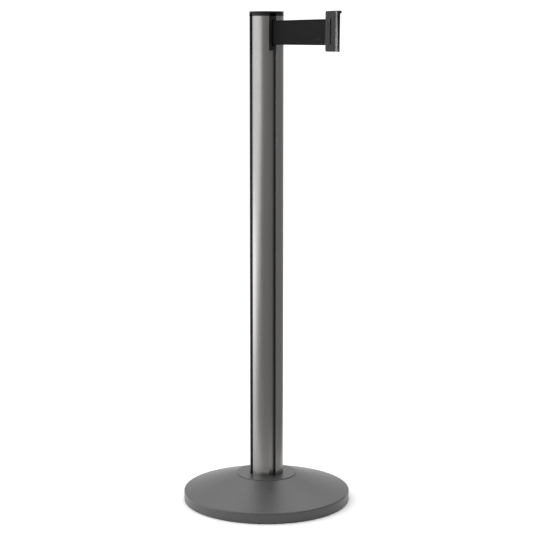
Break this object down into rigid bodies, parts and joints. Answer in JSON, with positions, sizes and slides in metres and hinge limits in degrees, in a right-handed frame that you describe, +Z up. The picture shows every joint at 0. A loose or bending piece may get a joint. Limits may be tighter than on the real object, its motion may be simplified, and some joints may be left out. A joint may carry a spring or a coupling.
{
  "type": "retractable belt stanchion",
  "caption": "Free-standing crowd-control post with a weighted round base, a spring-wound belt that pulls out of its head and receivers for neighbouring belt clips.",
  "frame": {"origin": "on the floor, on the post's axis, in the plane of the rubber ring that the base stands on", "axes": "+Z up along the post; +X the way the belt pulls out; +Y to the left of the belt"},
  "size_m": [0.511, 0.335, 0.98],
  "materials": {
    "post_metal": "satin anodised, drawn lengthwise",
    "black_plastic": "moulded, fine texture",
    "clip_plastic": "moulded, fine texture",
    "inner_plastic": "moulded nylon",
    "belt": "woven polyester webbing",
    "steel": "zinc plated",
    "spring_steel": "oiled, blued",
    "brass": "machined",
    "aluminium": "machined",
    "base_paint": "satin powder coat, dark grey",
    "cast_iron": "rough casting, black primer",
    "rubber": "moulded"
  },
  "bodies": {
    "root": {"post": "post_metal", "cap_base": "black_plastic", "cap_cover": "black_plastic", "cap_screws": "steel", "cassette_housing_left": "inner_plastic", "cassette_housing_right": "inner_plastic", "belt_guide_pins": "steel", "bottom_plate": "steel", "upper_bearing_plate": "steel", "spool_axle": "steel", "axle_circlip": "steel", "mainspring": "spring_steel", "brake_drum": "steel", "belt_lead_in": "belt", "belt_exit_bezel": "black_plastic", "receiver_insert_left": "black_plastic", "receiver_insert_rear": "black_plastic", "receiver_insert_right": "black_plastic", "base_cover": "base_paint", "collar_ring": "base_paint", "base_weight": "cast_iron", "floor_ring": "rubber", "post_foot_plug": "inner_plastic", "anchor_bolt": "steel", "lock_washer": "spring_steel", "plain_washer": "steel"},
    "belt_clip": {"clip_shell_left": "clip_plastic", "clip_shell_right": "clip_plastic", "clip_screws": "steel", "belt_clamp_pin": "steel", "detent_spring": "spring_steel", "belt_strip": "belt"},
    "spool": {"spool": "inner_plastic", "spool_bushes": "brass", "belt_anchor_pin": "steel", "wound_belt": "belt", "spring_cup": "inner_plastic", "spring_cup_lid": "inner_plastic", "brake_rotor": "aluminium", "shoe_pivot_pins": "steel"},
    "brake_shoe_front": {"brake_shoe_front": "brass"},
    "brake_shoe_rear": {"brake_shoe_rear": "brass"},
    "detent": {"detent_plunger": "inner_plastic"}
  },
  "joints": [
    {"name": "belt_pull", "type": "slide", "parent": "root", "child": "belt_clip", "axis": [1, 0, 0], "range_m": [-0.255, 2.04], "stiffness_N_per_m": 1.5, "springref_m": -3, "deforming": ["belt_strip"]},
    {"name": "spool_spin", "type": "hinge", "parent": "root", "child": "spool", "pos_m": [0, 0, 0.939], "axis": [0, 0, -1], "range_deg": [-1080, 8350], "deforming": ["mainspring"]},
    {"name": "brake_shoe_front_swing", "type": "hinge", "parent": "spool", "child": "brake_shoe_front", "pos_m": [0.01269, 0.00592, 0.87], "axis": [0, 0, -1], "range_deg": [0, 2]},
    {"name": "brake_shoe_rear_swing", "type": "hinge", "parent": "spool", "child": "brake_shoe_rear", "pos_m": [-0.01269, -0.00592, 0.87], "axis": [0, 0, -1], "range_deg": [0, 2]},
    {"name": "detent_press", "type": "slide", "parent": "belt_clip", "child": "detent", "axis": [-1, 0, 0], "range_m": [0, 0.002], "stiffness_N_per_m": 400, "springref_m": -0.003, "deforming": ["detent_spring"]}
  ],
  "couplings": [
    {"joint": "spool_spin", "follows": "belt_pull", "rad_per_m": 71.4}
  ]
}
